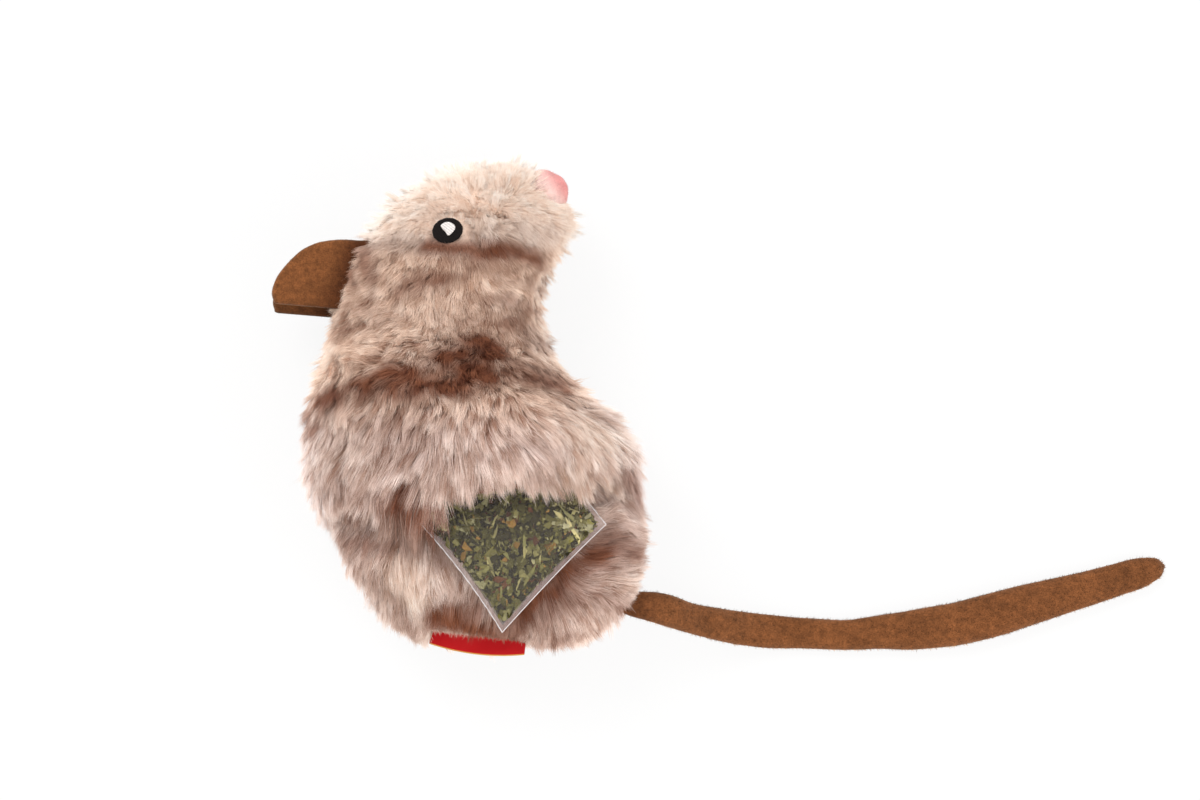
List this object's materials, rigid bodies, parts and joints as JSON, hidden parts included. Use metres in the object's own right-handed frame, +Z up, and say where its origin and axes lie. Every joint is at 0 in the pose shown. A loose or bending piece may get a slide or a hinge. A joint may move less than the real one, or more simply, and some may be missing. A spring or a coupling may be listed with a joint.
{
  "type": "catnip mouse",
  "caption": "Stuffed plush mouse lying on its flank, with felt nose, stitched eyes, suede ears and tail, and a clear sachet of dried catnip in a flank pocket.",
  "frame": {"origin": "on the table under the middle of the body, in the flattened underside of the far flank", "axes": "+X from the mouse's back to its belly and along the stretched tail, +Y from rump to head, +Z up from the table through the near flank"},
  "size_m": [0.2239, 0.1241, 0.062],
  "materials": {
    "cream_plush": "long soft pile, brown bands",
    "brown_suede": "matt suede cloth",
    "pink_felt": "matt felt",
    "black_thread": "satin stitch",
    "white_thread": "satin stitch",
    "red_ribbon": "woven satin",
    "polyester_fibre": "loose fibre",
    "woven_lining": "matt weave",
    "clear_film": "clear glossy film",
    "dried_leaf": "dry matt flakes"
  },
  "bodies": {
    "mouse": {"body_far_panel": "cream_plush", "body_upper_panel": "cream_plush", "body_lower_panel": "cream_plush", "hook_strip": "woven_lining", "pocket_pouch": "woven_lining", "body_stuffing": "polyester_fibre", "head_stuffing": "polyester_fibre", "nose": "pink_felt", "head_near_panel": "cream_plush", "head_far_panel": "cream_plush", "near_eye": "black_thread", "near_eye_glint": "white_thread", "far_eye": "black_thread", "far_eye_glint": "white_thread"},
    "near_ear": {"near_ear": "brown_suede"},
    "far_ear": {"far_ear": "brown_suede"},
    "tail": {"tail_cover": "brown_suede", "tail_filling": "polyester_fibre"},
    "flap": {"pocket_flap": "cream_plush", "loop_strip": "woven_lining"},
    "label": {"side_label": "red_ribbon"},
    "sachet": {"sachet_front_film": "clear_film", "sachet_back_film": "clear_film", "catnip_leaves": "dried_leaf"}
  },
  "joints": [
    {"name": "near_ear_fold", "type": "hinge", "parent": "mouse", "child": "near_ear", "pos_m": [-0.03076, 0.04744, 0.0315], "axis": [0.309, 0.9511, 0], "range_deg": [-15, 50], "stiffness_Nm_per_rad": 0.002},
    {"name": "far_ear_fold", "type": "hinge", "parent": "mouse", "child": "far_ear", "pos_m": [-0.03076, 0.04524, 0.0165], "axis": [0.309, 0.9511, 0], "range_deg": [-50, 15], "stiffness_Nm_per_rad": 0.002},
    {"name": "tail_swing", "type": "hinge", "parent": "mouse", "child": "tail", "pos_m": [0.03423, -0.02453, 0.024], "axis": [0, 0, 1], "range_deg": [-40, 40]},
    {"name": "flap_lift", "type": "hinge", "parent": "mouse", "child": "flap", "pos_m": [0, 0.01522, 0.0568], "axis": [-1, 0, 0], "range_deg": [0, 30], "stiffness_Nm_per_rad": 0.01},
    {"name": "label_flex", "type": "hinge", "parent": "mouse", "child": "label", "pos_m": [0.00116, -0.03106, 0.02415], "axis": [-0.9932, 0.1167, 0], "range_deg": [0, 30], "stiffness_Nm_per_rad": 0.0005},
    {"name": "sachet_slide", "type": "slide", "parent": "mouse", "child": "sachet", "axis": [-0.004, -0.9994, -0.0347], "range_m": [0, 0.062]}
  ]
}
